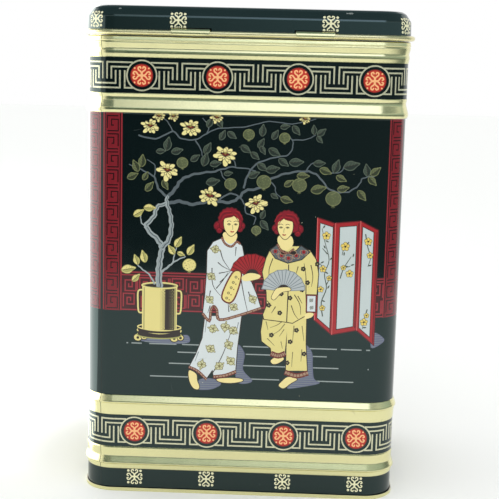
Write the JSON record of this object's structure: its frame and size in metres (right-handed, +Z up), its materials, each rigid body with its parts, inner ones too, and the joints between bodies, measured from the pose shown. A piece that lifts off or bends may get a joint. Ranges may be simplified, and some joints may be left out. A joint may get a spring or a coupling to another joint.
{
  "type": "hinged lid storage tin",
  "caption": "Tall rectangular tinplate caddy with rolled beads, a recessed base, an inner collar and a lid hinged on straps at one long side.",
  "frame": {"origin": "middle of the base, on the surface that the tin stands on", "axes": "+X along the width, +Y away from the hinge side, +Z up"},
  "size_m": [0.114, 0.0846, 0.1708],
  "materials": {
    "printed_wall": "glossy printed enamel with gold lacquer bands",
    "gold_rim": "satin gold lacquer on tinplate",
    "plain_collar": "bare tinplate",
    "printed_lid": "glossy printed enamel",
    "gold_strap": "satin gold lacquer on tinplate"
  },
  "bodies": {
    "tin": {"body_wall": "printed_wall", "base_panel": "gold_rim", "neck_collar": "plain_collar", "hinge_strap_left": "gold_strap", "hinge_strap_right": "gold_strap"},
    "lid": {"lid_shell": "printed_lid"}
  },
  "joints": [
    {"name": "lid_hinge", "type": "hinge", "parent": "tin", "child": "lid", "pos_m": [0, -0.0412, 0.1618], "axis": [1, 0, 0], "range_deg": [0, 115]}
  ]
}
